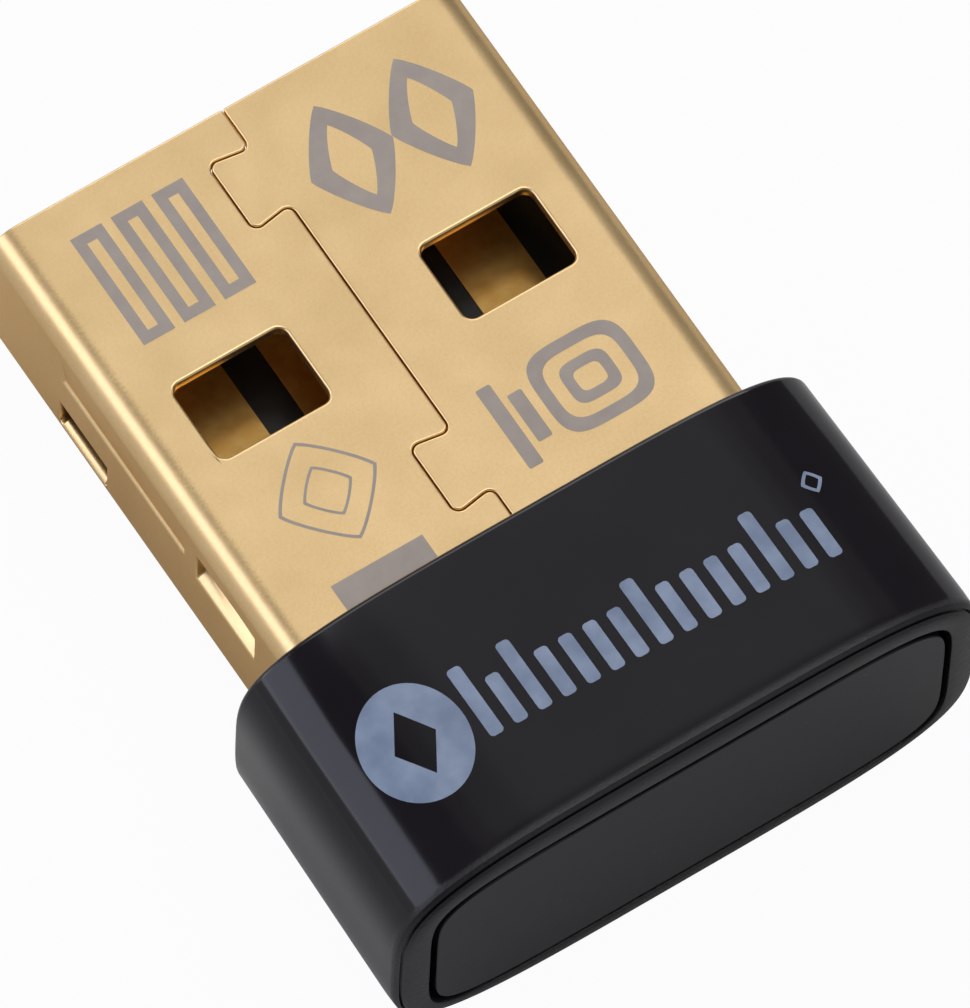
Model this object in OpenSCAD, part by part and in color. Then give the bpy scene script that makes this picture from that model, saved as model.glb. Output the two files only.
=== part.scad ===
// Wireless adapter for a type A plug socket: a folded plug shell, a moulded housing with
// an inset end cap, and the board between them. Millimetres, plug mouth towards +Y,
// standing on the flat under the housing.

/* [Plug shell] */
// Width of the plug shell outside
plug_w = 12; // [11.6:0.1:12.4]
// Height of the plug shell outside
plug_h = 4.5; // [4.3:0.05:4.8]
// Thickness of the folded sheet
sheet_t = 0.3; // [0.2:0.02:0.34]
// Outside radius of the four folds
bend_r = 0.65; // [0.5:0.05:0.9]
// Length of plug that stands out of the housing
plug_reach = 12; // [11.8:0.05:12.6]
// Length of shell that goes on inside the housing
shell_hidden = 2.4; // [1.8:0.1:2.6]

/* [Shell windows] */
// Width of a window
window_w = 2.88; // [2.2:0.1:3.4]
// Length of a window along the plug
window_l = 2.09; // [1.6:0.1:2.6]
// Radius of the window corners
window_r = 0.25; // [0.1:0.05:0.5]
// Distance from the middle of the plug to the middle of a window
window_x = 3.17; // [2.9:0.05:3.4]
// Distance from the mouth to the middle of a window
window_d = 6.15; // [5.6:0.05:6.6]

/* [Shell seam] */
// Width of the gap along the seam
seam_gap = 0.03; // [0.02:0.01:0.08]
// How far a dovetail reaches across the seam
dovetail_reach = 1.01; // [0.7:0.05:1.2]
// Length of a dovetail at its root
dovetail_root = 1.6; // [1.3:0.05:1.8]
// Length of a dovetail at its end
dovetail_head = 1.92; // [1.85:0.05:2.2]
// Radius of the corners of a dovetail
dovetail_r = 0.2; // [0.1:0.02:0.24]
// Distance from the mouth to the middle of the front dovetail
dovetail_front = 1.93; // [1.6:0.05:2.3]
// Distance from the mouth to the middle of the rear dovetail
dovetail_rear = 10; // [9.4:0.1:10.4]

/* [Side lances] */
// Distance from the mouth to the front of the long rib
rib_front = 3; // [2.8:0.05:3.2]
// Length of the long pressed rib over the board's edge
rib_l = 4.9; // [4:0.1:5.1]
// Depth of the long pressed rib
rib_depth = 0.08; // [0.05:0.01:0.12]
// Height of the long pressed rib
rib_h = 1; // [0.7:0.05:1.1]
// Height of the rib's lower edge above the board
rib_rise = 0.42; // [0.35:0.01:0.5]
// Height of the sloping foot of a rib or lance as a share of its depth
foot_share = 0.75; // [0.6:0.05:1]
// Distance from the mouth to the front of the window round the open lance
open_lance_front = 2.9; // [2.6:0.1:3.4]
// Length of the window round the open lance
open_lance_l = 1.9; // [1.5:0.1:2.6]
// Height of the open lance
open_lance_h = 0.11; // [0.08:0.01:0.2]
// How far the open lance is pushed in
open_lance_push = 0.12; // [0.08:0.01:0.2]
// Gap between the front of the window and the open lance
open_lance_gap = 0.12; // [0.05:0.01:0.2]
// Height of that window over the board's underside
open_slot_h = 0.13; // [0.1:0.01:0.2]
// Distance from the mouth to the front of the rear lance
rear_lance_front = 8.4; // [8.2:0.1:8.8]
// Length of the rear lance
rear_lance_l = 2.3; // [1.6:0.1:2.6]
// Height of the rear lance
rear_lance_h = 1.08; // [0.8:0.02:1.16]
// How far the rear lance is pushed in
rear_lance_push = 0.26; // [0.15:0.01:0.28]
// Height of the rear lance's lower edge above the board
rear_lance_rise = 0.1; // [0.05:0.01:0.2]
// Length of the slot that frees the front of the rear lance
rear_slot_l = 0.1; // [0.06:0.01:0.2]

/* [Housing] */
// Width of the housing at its front
housing_w_front = 14.7; // [14.4:0.1:15]
// Width of the housing at its rear
housing_w_rear = 15; // [14.8:0.1:15.6]
// Height of the housing's underside below the middle of the plug
housing_below = 3.48; // [3.35:0.02:3.8]
// Height of the housing above the middle of the plug, at its front
housing_above_front = 3.4; // [3.3:0.05:3.7]
// Height of the housing above the middle of the plug, at its rear
housing_above_rear = 3.55; // [3.35:0.05:3.9]
// Length of the housing
housing_l = 6.8; // [6.6:0.05:7.4]
// Squareness of the housing's section, where 2 is an ellipse
housing_square = 4; // [3.4:0.1:5]
// Radius of the housing's front edge
front_edge_r = 0.15; // [0.1:0.05:0.4]
// Bevel of the housing's rear rim
rim_bevel = 0.24; // [0.1:0.02:0.28]
// Thickness of the housing's front wall round the plug
front_wall = 1.1; // [0.8:0.1:1.4]
// Depth that is cut off the crown below to give a flat to stand on
foot_flat = 0.015; // [0.01:0.005:0.03]

/* [End cap] */
// Width of the end cap
cap_w = 13; // [12.8:0.05:13.2]
// Height of the end cap
cap_h = 5.26; // [5.2:0.02:5.4]
// How far the end cap's middle lies below the middle of the plug
cap_drop = 0.09; // [0:0.01:0.1]
// Squareness of the end cap's outline
cap_square = 5.8; // [5:0.1:7]
// Thickness of the end cap's plate
cap_t = 0.9; // [0.7:0.05:1.1]
// Gap between the end cap and the rim
cap_gap = 0.17; // [0.1:0.01:0.18]
// Width of the ledge that the end cap sits on
ledge_w = 0.32; // [0.26:0.02:0.34]
// Width of the two tongues that centre the end cap
tongue_w = 7; // [5:0.5:8]
// Thickness of a tongue
tongue_t = 0.55; // [0.4:0.05:0.6]
// Length of a tongue and of the two board rests
tongue_l = 0.9; // [0.7:0.05:1]
// Width of a board rest
rest_w = 1.1; // [0.8:0.1:1.2]
// Height of a board rest above and below the board
rest_h = 0.8; // [0.5:0.05:1]

/* [Clearances] */
// Gap between the shell and the housing
shell_gap = 0.05; // [0.03:0.01:0.1]
// Gap between the board or the insert and the shell's sides
side_gap = 0.05; // [0.03:0.01:0.1]
// Gap round a board edge in a slot or over a lance
slot_gap = 0.05; // [0.04:0.01:0.08]
// Gap between a tongue and the housing
tongue_gap = 0.05; // [0.03:0.01:0.1]

/* [Board] */
// Thickness of the circuit board
board_t = 0.8; // [0.7:0.02:0.84]
// Distance from the mouth to the board
board_front = 1; // [0.8:0.05:1.2]
// Distance from the mouth to the start of the wide tail
tail_front = 16.05; // [15.95:0.05:16.2]
// Width of the wide tail
tail_w = 12.3; // [12:0.1:12.4]
// Gap between the tail and the end cap
tail_gap = 0.2; // [0.1:0.05:0.3]

/* [Contacts] */
// Width of a contact
contact_w = 1.62; // [1.4:0.05:1.8]
// Distance from the middle to an outer contact
contact_outer_x = 3.57; // [3.45:0.05:3.7]
// Distance from the middle to an inner contact
contact_inner_x = 1.05; // [1:0.05:1.2]
// Thickness of the copper and its plating
copper_t = 0.04; // [0.03:0.01:0.05]
// Distance from the mouth to the outer contacts
contact_outer_front = 1.7; // [1.5:0.1:2]
// Distance from the mouth to the inner contacts
contact_inner_front = 2.7; // [2.4:0.1:3]
// Distance from the mouth to the rear end of all contacts
contact_rear = 9.1; // [8.6:0.1:9.6]
// Radius of the contacts' corners
contact_r = 0.2; // [0.1:0.05:0.4]

/* [Insert] */
// Distance from the mouth to the insert
insert_front = 0.45; // [0.35:0.05:0.6]
// Distance from the mouth to the insert's rear end
insert_rear = 12.7; // [12.4:0.1:13.2]
// Bevel along the insert's front edge
insert_bevel = 0.3; // [0.1:0.05:0.35]
// Wall left round the tray in the insert
tray_wall = 0.85; // [0.7:0.05:0.9]
// Distance from the mouth to the front of the tray
tray_front = 2.5; // [2.2:0.1:2.6]
// Thickness left under the tray
tray_floor = 0.2; // [0.12:0.02:0.22]
// Space left round an open lance
notch_gap = 0.1; // [0.06:0.02:0.2]

/* [Shell legs] */
// Length of a leg behind the shell
leg_l = 1.45; // [1.2:0.05:1.5]
// Height of a leg
leg_h = 1.7; // [1.5:0.1:2.2]
// Length of a solder joint
solder_l = 1; // [0.7:0.1:1.1]
// Size of a solder fillet
solder_r = 0.35; // [0.2:0.05:0.4]
// Width of a ground pad
ground_pad_w = 0.65; // [0.5:0.05:0.8]

/* [Radio chip] */
// Side of the radio chip
chip_w = 5; // [4.6:0.1:5.2]
// Thickness of the radio chip
chip_t = 0.75; // [0.6:0.05:0.8]
// Place of the radio chip across the board
chip_x = 0.9; // [0.7:0.05:1]
// Distance from the mouth to the middle of the radio chip
chip_d = 8.95; // [8.8:0.05:9.1]
// Pins along each side
pins_per_side = 8; // [6:1:8]
// Distance from pin to pin
pin_pitch = 0.5; // [0.4:0.05:0.55]
// Width of a pin
pin_w = 0.24; // [0.18:0.02:0.3]
// Length of a pin
pin_l = 0.4; // [0.3:0.05:0.5]
// Side of the pad under the chip
thermal_pad_w = 3.2; // [2.6:0.1:3.4]
// Height of the solder under the chip
standoff = 0.05; // [0.03:0.01:0.06]
// How far a pin shows beside the chip
pin_show = 0.04; // [0.02:0.01:0.06]

/* [Crystal] */
// Length of the crystal across the board
crystal_l = 3.2; // [2.8:0.1:3.2]
// Width of the crystal along the board
crystal_w = 2.5; // [2:0.1:2.5]
// Height of its ceramic base
crystal_base_t = 0.4; // [0.3:0.02:0.45]
// Height of its metal lid
crystal_lid_t = 0.28; // [0.2:0.02:0.35]
// Rim of the base round the lid
crystal_rim = 0.15; // [0.1:0.01:0.2]
// Place of the crystal across the board
crystal_x = -2.9; // [-3:0.05:-2.8]
// Distance from the mouth to the middle of the crystal
crystal_d = 4.3; // [4:0.1:4.4]

/* [Voltage regulator] */
// Length of the regulator's body across the board
regulator_l = 2.9; // [2.6:0.1:3]
// Width of the regulator's body along the board
regulator_w = 1.3; // [1.2:0.05:1.4]
// Height of the regulator's body
regulator_t = 0.7; // [0.6:0.05:0.8]
// Place of the regulator across the board
regulator_x = 1.4; // [1.3:0.1:1.6]
// Distance from the mouth to the middle of the regulator
regulator_d = 4.4; // [4.2:0.1:4.6]
// Distance between its two neighbouring legs
regulator_pitch = 1.9; // [1.7:0.1:2]
// Width of a leg
regulator_leg_w = 0.4; // [0.3:0.05:0.45]
// Thickness of a leg
regulator_leg_t = 0.12; // [0.08:0.02:0.16]
// How far the legs stand out of the body
regulator_leg_out = 0.55; // [0.4:0.05:0.65]

/* [Chip parts] */
// Length of a capacitor or resistor
passive_l = 1; // [0.9:0.05:1.1]
// Width of a capacitor or resistor
passive_w = 0.5; // [0.4:0.05:0.55]
// Height of a capacitor
capacitor_h = 0.5; // [0.4:0.05:0.6]
// Height of a resistor
resistor_h = 0.35; // [0.3:0.05:0.45]
// Length of the inductor and of the ferrite bead
coil_l = 1.6; // [1.4:0.1:1.8]
// Width of the inductor and of the ferrite bead
coil_w = 0.8; // [0.6:0.05:0.9]
// Height of the inductor
inductor_h = 0.8; // [0.6:0.05:1]
// Height of the ferrite bead
bead_h = 0.6; // [0.5:0.05:0.8]
// Length of a metal end as a share of the part
end_share = 0.25; // [0.18:0.01:0.3]
// How much a body is drawn in from its metal ends
body_inset = 0.02; // [0.01:0.005:0.04]

/* [Places on the board] */
// Distance from part to part in a column
column_step = 1.25; // [1.2:0.05:1.3]
// Place of the outer column of capacitors across the board
left_column_x = -3.45; // [-3.55:0.05:-3.4]
// Place of the column of resistors across the board
resistor_column_x = -2.35; // [-2.4:0.05:-2.3]
// Gap between the crystal and the front part of those two columns
column_gap = 0.85; // [0.75:0.05:0.95]
// Place of the capacitors beside the regulator and the radio chip across the board
right_column_x = 4.12; // [4.1:0.02:4.16]
// Distance from the mouth to the capacitors beside the regulator
right_front_d = 3.6; // [3.4:0.1:3.8]
// Distance from the mouth to the capacitors beside the radio chip
right_rear_d = 7.4; // [7.2:0.1:7.6]
// Distance between the two capacitors beside the radio chip
right_rear_step = 2.6; // [2.4:0.1:2.8]
// Distance from the middle to a capacitor before the antenna
tuning_x = 1.5; // [1.3:0.1:1.8]
// Distance from the antenna to the middle of the capacitors before it
tuning_d = 1.3; // [1.1:0.1:1.4]
// Place of the resistor before the antenna across the board
link_x = 3.2; // [3:0.1:3.4]
// Distance from the antenna to the middle of the resistor
link_d = 3.2; // [3:0.1:3.3]
// Distance from the antenna to the middle of the inductor
inductor_d = 2.7; // [2.6:0.1:3]
// Place of the ferrite bead across the board
bead_x = -3.4; // [-3.6:0.1:-3]
// Distance from the antenna to the middle of the ferrite bead
bead_d = 3.1; // [2.9:0.1:3.2]

/* [Antenna] */
// Width of the antenna across the board
antenna_w = 8.92; // [8.4:0.1:9.4]
// Length of the antenna along the board
antenna_l = 1.05; // [0.8:0.05:1.1]
// Width of the printed line
trace_w = 0.28; // [0.2:0.02:0.34]
// Number of strokes of the meander
stroke_count = 13; // [9:2:13]
// Length of the feed line towards the radio
feed_l = 1.2; // [0.8:0.1:1.4]
// Distance between the antenna and the board's rear edge
antenna_margin = 0.25; // [0.2:0.05:0.35]

/* [Hidden] */

$fn = 48;
// A cut runs this far past the face that it opens
past = 0.2;
// Points round the housing's section and steps along its rounded front edge
section_points = 96;
edge_steps = 4;
// Points along one rounded corner of the seam
corner_points = 6;

overall_l = plug_reach + housing_l;
shell_l = plug_reach + shell_hidden;
inside_x = plug_w / 2 - sheet_t;
inside_z = plug_h / 2 - sheet_t;
board_half = inside_x - side_gap;
cap_back = overall_l - cap_t;
board_rear = cap_back - tail_gap;
antenna_rear = board_rear - antenna_margin;
antenna_front = antenna_rear - antenna_l;
under_board = -board_t;
recess_w = cap_w + 2 * cap_gap;
recess_h = cap_h + 2 * cap_gap;
cavity_w = recess_w - 2 * ledge_w;
cavity_h = recess_h - 2 * ledge_w;
tray_half = board_half - tray_wall;
tray_rear = insert_rear - tray_wall;
open_lance_root = bend_r - plug_h / 2;
open_lance_rear = open_lance_front + open_lance_l;
rear_lance_top = rear_lance_rise + rear_lance_h;

// Places of the small parts, as [across the board, distance from the mouth]
column_front = crystal_d + crystal_w / 2 + column_gap + passive_l / 2;
capacitors_below = [
    for (row = [0:3]) [left_column_x, column_front + column_step * row],
    for (row = [0:1]) [right_column_x, right_front_d + column_step * row],
    for (row = [0:1]) [right_column_x, right_rear_d + right_rear_step * row]
];
resistors_below = [for (row = [0:2]) [resistor_column_x, column_front + column_step * row]];
capacitors_above = [for (side = [-1, 1]) [side * tuning_x, antenna_front - tuning_d]];
resistors_above = [[link_x, antenna_front - link_d]];
inductor_place = [0, antenna_front - inductor_d];
bead_place = [bead_x, antenna_front - bead_d];

// The plug's own place: its origin is the middle of the mouth, its length runs to -Y
module from_mouth() {
    translate([0, overall_l / 2, housing_below]) children();
}

// Extrudes a section drawn in X and Z from one distance behind the mouth to another
module along_plug(near, far) {
    translate([0, -near, 0]) rotate([90, 0, 0]) linear_extrude(far - near) children();
}

// A box between two corners given as [across, distance from the mouth, height]
module block(low, high) {
    translate([low[0], -high[1], low[2]]) cube(high - low);
}

// The same shape on the left and on the right
module both_sides() {
    children();
    mirror([1, 0, 0]) children();
}

module rounded_rect(w, h, r) {
    square([w - 2 * r, h], center = true);
    square([w, h - 2 * r], center = true);
    for (x = [-1, 1], y = [-1, 1])
        translate([x * (w / 2 - r), y * (h / 2 - r)]) circle(r);
}

// One point of a squared ellipse with its own heights above and below the middle
function squared_point(half_w, above, below, square_n, turn) =
    let (c = cos(turn), s = sin(turn))
    [half_w * sign(c) * pow(abs(c), 2 / square_n),
     (s > 0 ? above : below) * sign(s) * pow(abs(s), 2 / square_n)];

function squared_outline(half_w, above, below, square_n) =
    [for (i = [0:section_points - 1])
        squared_point(half_w, above, below, square_n, 360 * (i + 0.5) / section_points)];

// The end cap's outline, grown or shrunk to the sizes given
module cap_outline(w, h) {
    translate([0, -cap_drop]) polygon(squared_outline(w / 2, h / 2, h / 2, cap_square));
}

// Folded plug shell

function unit(v) = v / norm(v);

// Points of the arc that rounds the corner at b between a and c
function corner_arc(a, b, c, r) =
    let (u = unit(a - b),
         w = unit(c - b),
         half = acos(u * w) / 2,
         centre = b + unit(u + w) * r / sin(half),
         from = b + u * r / tan(half) - centre,
         to = b + w * r / tan(half) - centre,
         start = atan2(from[1], from[0]),
         turn = 180 - 2 * half,
         side = from[0] * to[1] - from[1] * to[0] > 0 ? 1 : -1)
    [for (i = [0:corner_points]) let (at = start + side * turn * i / corner_points)
        centre + r * [cos(at), sin(at)]];

// The four corners of a dovetail whose middle lies at a distance behind the mouth
function dovetail(middle) = [
    [0, -middle + dovetail_root / 2],
    [-dovetail_reach, -middle + dovetail_head / 2],
    [-dovetail_reach, -middle - dovetail_head / 2],
    [0, -middle - dovetail_root / 2]
];

seam_corners = concat([[0, past]], dovetail(dovetail_front), dovetail(dovetail_rear),
                      [[0, -shell_l - past]]);
seam_last = len(seam_corners) - 1;
seam_path = [
    seam_corners[0],
    for (i = [1:seam_last - 1])
        each corner_arc(seam_corners[i - 1], seam_corners[i], seam_corners[i + 1], dovetail_r),
    seam_corners[seam_last]
];

// The seam's path, moved sideways by an amount
function beside(path, shift) =
    let (last = len(path) - 1)
    [for (i = [0:last])
        let (way = unit(path[min(i + 1, last)] - path[max(i - 1, 0)]))
        path[i] + shift * [way[1], -way[0]]];

function reversed(list) = [for (i = [len(list) - 1:-1:0]) list[i]];

module seam_cut() {
    translate([0, 0, inside_z - past])
        linear_extrude(sheet_t + 2 * past)
            polygon(concat(beside(seam_path, -seam_gap / 2),
                           reversed(beside(seam_path, seam_gap / 2))));
}

module window_cuts() {
    for (x = [-window_x, window_x])
        translate([x, -window_d, -plug_h / 2 - past])
            linear_extrude(plug_h + 2 * past) rounded_rect(window_w, window_l, window_r);
}

// Section of a dent in the right wall: a sloping foot, then a panel up to the top
module dent(face_x, low, high, depth, top_depth) {
    polygon([
        [face_x, low],
        [face_x - depth, low + depth * foot_share],
        if (top_depth > 0) [face_x - top_depth, high],
        [face_x, high]
    ]);
}

// Presses the right wall in between two distances behind the mouth
module pressed(near, far, low, high, depth, top_depth) {
    difference() {
        union() {
            children();
            along_plug(near, far) dent(inside_x, low, high, depth, top_depth);
        }
        along_plug(near, far) dent(plug_w / 2, low, high, depth, top_depth);
    }
}

// The right half of the folded sheet, with its rib and the rear lance pressed in
module pressed_half() {
    pressed(rib_front, rib_front + rib_l, rib_rise, rib_rise + rib_h, rib_depth, 0)
        pressed(rear_lance_front, rear_lance_front + rear_lance_l,
                rear_lance_rise, rear_lance_top, rear_lance_push, rear_lance_push)
            intersection() {
                along_plug(0, shell_l) difference() {
                    rounded_rect(plug_w, plug_h, bend_r);
                    rounded_rect(plug_w - 2 * sheet_t, plug_h - 2 * sheet_t, bend_r - sheet_t);
                }
                block([0, 0, -plug_h], [plug_w, shell_l, plug_h]);
            }
}

// Section of the open lance, hinged at the lower bend and leaning in
module open_lance_section() {
    polygon([
        [plug_w / 2, open_lance_root],
        [plug_w / 2 - open_lance_push, open_lance_root + open_lance_h],
        [inside_x - open_lance_push, open_lance_root + open_lance_h],
        [inside_x, open_lance_root]
    ]);
}

module right_half_shell() {
    difference() {
        pressed_half();
        block([inside_x - past, open_lance_front, open_lance_root],
              [plug_w, open_lance_rear, under_board + open_slot_h]);
        block([inside_x - rear_lance_push - past, rear_lance_front,
               rear_lance_rise + rear_lance_push * foot_share],
              [plug_w, rear_lance_front + rear_slot_l, rear_lance_top]);
    }
    along_plug(open_lance_front + open_lance_gap, open_lance_rear - slot_gap) open_lance_section();
    block([inside_x, shell_l, -board_t / 2 - leg_h / 2],
          [plug_w / 2, shell_l + leg_l, -board_t / 2 + leg_h / 2]);
}

module plug_shell() {
    color("#dec092") from_mouth() difference() {
        both_sides() right_half_shell();
        window_cuts();
        seam_cut();
    }
}

// Moulded housing

// Half sizes of the housing's section at a share of its length, drawn in by an amount
function housing_ring(share, inset) =
    let (half_w = (housing_w_front + (housing_w_rear - housing_w_front) * share) / 2,
         above = housing_above_front + (housing_above_rear - housing_above_front) * share)
    [for (p = squared_outline(half_w - inset, above - inset,
                              housing_below + foot_flat - inset, housing_square))
        [p[0], -plug_reach - housing_l * share, p[1]]];

housing_rings = concat(
    [for (i = [0:edge_steps]) let (turn = 90 * i / edge_steps)
        housing_ring(front_edge_r * (1 - cos(turn)) / housing_l, front_edge_r * (1 - sin(turn)))],
    [housing_ring(1 - rim_bevel / housing_l, 0), housing_ring(1, rim_bevel)]
);

// A solid through closed rings of points, each ring with as many points
module loft(rings) {
    n = len(rings[0]);
    last = len(rings) - 1;
    points = [for (ring = rings) each ring];
    sides = [for (j = [0:last - 1], i = [0:n - 1]) let (k = (i + 1) % n)
        each [[j * n + i, (j + 1) * n + k, j * n + k], [j * n + i, (j + 1) * n + i, (j + 1) * n + k]]];
    front = [for (i = [0:n - 1]) i];
    rear = [for (i = [n - 1:-1:0]) last * n + i];
    polyhedron(points, concat(sides, [front], [rear]));
}

module housing() {
    color("#28262a") from_mouth() difference() {
        loft(housing_rings);
        along_plug(plug_reach - past, plug_reach + front_wall + past)
            rounded_rect(plug_w + 2 * shell_gap, plug_h + 2 * shell_gap, bend_r + shell_gap);
        along_plug(plug_reach + front_wall, cap_back + past) cap_outline(cavity_w, cavity_h);
        along_plug(cap_back, overall_l + past) cap_outline(recess_w, recess_h);
        block([-housing_w_rear, plug_reach - past, -2 * housing_below],
              [housing_w_rear, overall_l + past, -housing_below]);
    }
}

// End cap with its two centring tongues and two board rests

module end_cap() {
    rest_x = tail_w / 2 - rest_w / 2 - slot_gap;
    color("#302e31") from_mouth() {
        along_plug(cap_back, overall_l) cap_outline(cap_w, cap_h);
        along_plug(cap_back - tongue_l, cap_back) translate([0, -cap_drop])
            for (side = [-1, 1])
                translate([0, side * (cavity_h / 2 - tongue_gap - tongue_t / 2)])
                    square([tongue_w, tongue_t], center = true);
        difference() {
            both_sides()
                block([rest_x - rest_w / 2, cap_back - tongue_l, under_board - rest_h],
                      [rest_x + rest_w / 2, cap_back, rest_h]);
            block([-tail_w, cap_back - tongue_l - past, under_board - slot_gap],
                  [tail_w, cap_back, slot_gap]);
        }
    }
}

// Board and its printed copper

module circuit_board() {
    color("#1a1c1a") from_mouth() {
        block([-board_half, board_front, -board_t], [board_half, tail_front, 0]);
        block([-tail_w / 2, tail_front, -board_t], [tail_w / 2, board_rear, 0]);
    }
}

module contact(x, near) {
    length = contact_rear - near;
    color("#e0b860") from_mouth()
        translate([x, -near - length / 2, 0])
            linear_extrude(copper_t) rounded_rect(contact_w, length, contact_r);
}

module contact_vbus() { contact(-contact_outer_x, contact_outer_front); }
module contact_data_minus() { contact(-contact_inner_x, contact_inner_front); }
module contact_data_plus() { contact(contact_inner_x, contact_inner_front); }
module contact_ground() { contact(contact_outer_x, contact_outer_front); }

module ground_pads() {
    middle = shell_l + leg_l / 2;
    color("#e0b860") from_mouth() both_sides()
        for (z = [0, under_board - copper_t])
            block([board_half - ground_pad_w, middle - solder_l / 2, z],
                  [board_half, middle + solder_l / 2, z + copper_t]);
}

// A hollow fillet between a pad and a leg, once over and once under the board
module shell_solder() {
    middle = shell_l + leg_l / 2;
    color("#c8ccd0") from_mouth() both_sides()
        along_plug(middle - solder_l / 2, middle + solder_l / 2)
            for (face = [0, 1])
                translate([0, -board_t / 2]) mirror([0, face])
                    translate([inside_x - solder_r, board_t / 2 + copper_t]) difference() {
                        square(solder_r);
                        translate([0, solder_r]) circle(solder_r);
                    }
}

module antenna_trace() {
    step = (antenna_w - trace_w) / (stroke_count - 1);
    half = (stroke_count - 1) / 2;
    color("#b87a3c") from_mouth() {
        for (i = [-half:half])
            block([i * step - trace_w / 2, antenna_front, 0],
                  [i * step + trace_w / 2, antenna_rear, copper_t]);
        for (i = [-half:half - 1]) {
            near = (i + half) % 2 == 0 ? antenna_front : antenna_rear - trace_w;
            block([i * step, near, 0], [(i + 1) * step, near + trace_w, copper_t]);
        }
        block([half * step - trace_w / 2, antenna_front - feed_l, 0],
              [half * step + trace_w / 2, antenna_front, copper_t]);
    }
}

// Tray under the board

module plug_insert() {
    notch_x = inside_x - open_lance_push - notch_gap;
    color("#232326") from_mouth() difference() {
        union() {
            block([-board_half, board_front, -inside_z], [board_half, insert_rear, under_board]);
            block([-board_half, insert_front, -inside_z], [board_half, board_front, 0]);
        }
        translate([0, -insert_front, 0]) rotate([45, 0, 0])
            cube([plug_w, insert_bevel * sqrt(2), insert_bevel * sqrt(2)], center = true);
        block([-tray_half, tray_front, -inside_z + tray_floor], [tray_half, tray_rear, past]);
        both_sides()
            block([notch_x, open_lance_front - notch_gap, open_lance_root - notch_gap],
                  [plug_w, open_lance_rear + notch_gap, past]);
    }
}

// Parts soldered under and over the board

// A box on the board's underside, given its middle, its size and its distance below
module under(x, d, size, gap = 0) {
    translate([x, -d, under_board - gap - size[2] / 2]) cube(size, center = true);
}

module radio_chip() {
    color("#1c1c1e") from_mouth() under(chip_x, chip_d, [chip_w, chip_w, chip_t], standoff);
}

module radio_chip_pins() {
    reach = chip_w / 2 + pin_show - pin_l / 2;
    color("#c8ccd0") from_mouth() {
        under(chip_x, chip_d, [thermal_pad_w, thermal_pad_w, standoff]);
        translate([chip_x, -chip_d, under_board - standoff / 2])
            for (turn = [0:90:270], i = [0:pins_per_side - 1])
                rotate(turn) translate([(i - (pins_per_side - 1) / 2) * pin_pitch, reach, 0])
                    cube([pin_w, pin_l, standoff], center = true);
    }
}

module crystal() {
    color("#5a5148") from_mouth()
        under(crystal_x, crystal_d, [crystal_l, crystal_w, crystal_base_t]);
}

module crystal_lid() {
    color("#c0c4c8") from_mouth()
        under(crystal_x, crystal_d,
              [crystal_l - 2 * crystal_rim, crystal_w - 2 * crystal_rim, crystal_lid_t],
              crystal_base_t);
}

module voltage_regulator() {
    color("#1c1c1e") from_mouth()
        under(regulator_x, regulator_d, [regulator_l, regulator_w, regulator_t], standoff);
}

// Side view of one leg: out of the body, down to the board and along it
module regulator_leg() {
    t = regulator_leg_t;
    drop = standoff + regulator_t / 2 + t / 2;
    knee = regulator_leg_out / 2;
    translate([-regulator_leg_w / 2, 0, 0]) rotate([90, 0, 90])
        linear_extrude(regulator_leg_w) polygon([
            [0, -drop], [knee, -drop], [knee, -t], [regulator_leg_out, -t],
            [regulator_leg_out, 0], [knee - t, 0], [knee - t, t - drop], [0, t - drop]
        ]);
}

module regulator_legs() {
    color("#c8ccd0") from_mouth() translate([regulator_x, -regulator_d, under_board]) {
        for (x = [-regulator_pitch / 2, regulator_pitch / 2])
            translate([x, regulator_w / 2, 0]) regulator_leg();
        rotate(180) translate([0, regulator_w / 2, 0]) regulator_leg();
    }
}

// The middle or the two metal ends of a chip part, its length along the board
module chip_part(piece, size) {
    end_l = size[1] * end_share;
    if (piece == "middle")
        translate([0, 0, size[2] / 2])
            cube([size[0] - 2 * body_inset, size[1] - 2 * end_l, size[2] - 2 * body_inset],
                 center = true);
    else
        for (side = [-1, 1])
            translate([0, side * (size[1] - end_l) / 2, size[2] / 2])
                cube([size[0], end_l, size[2]], center = true);
}

module placed(below, above) {
    for (p = below) translate([p[0], -p[1], under_board]) mirror([0, 0, 1]) children();
    for (p = above) translate([p[0], -p[1], 0]) children();
}

module capacitor_set(piece) {
    from_mouth() placed(capacitors_below, capacitors_above)
        chip_part(piece, [passive_w, passive_l, capacitor_h]);
}

module resistor_set(piece) {
    from_mouth() placed(resistors_below, resistors_above)
        chip_part(piece, [passive_w, passive_l, resistor_h]);
}

module inductor_set(piece) {
    from_mouth() placed([], [inductor_place]) chip_part(piece, [coil_w, coil_l, inductor_h]);
}

module bead_set(piece) {
    from_mouth() placed([], [bead_place]) chip_part(piece, [coil_w, coil_l, bead_h]);
}

module capacitors() { color("#9a7a52") capacitor_set("middle"); }
module capacitor_ends() { color("#c8ccd0") capacitor_set("ends"); }
module resistors() { color("#222226") resistor_set("middle"); }
module resistor_ends() { color("#c8ccd0") resistor_set("ends"); }
module inductor() { color("#6a6e74") inductor_set("middle"); }
module inductor_ends() { color("#c8ccd0") inductor_set("ends"); }
module ferrite_bead() { color("#3c3c40") bead_set("middle"); }
module ferrite_bead_ends() { color("#c8ccd0") bead_set("ends"); }

plug_shell();
housing();
end_cap();
circuit_board();
plug_insert();
contact_vbus();
contact_data_minus();
contact_data_plus();
contact_ground();
ground_pads();
shell_solder();
antenna_trace();
radio_chip();
radio_chip_pins();
crystal();
crystal_lid();
voltage_regulator();
regulator_legs();
capacitors();
capacitor_ends();
resistors();
resistor_ends();
inductor();
inductor_ends();
ferrite_bead();
ferrite_bead_ends();
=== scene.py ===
import math
import bpy
import bmesh
from mathutils import Matrix, Vector


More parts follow.
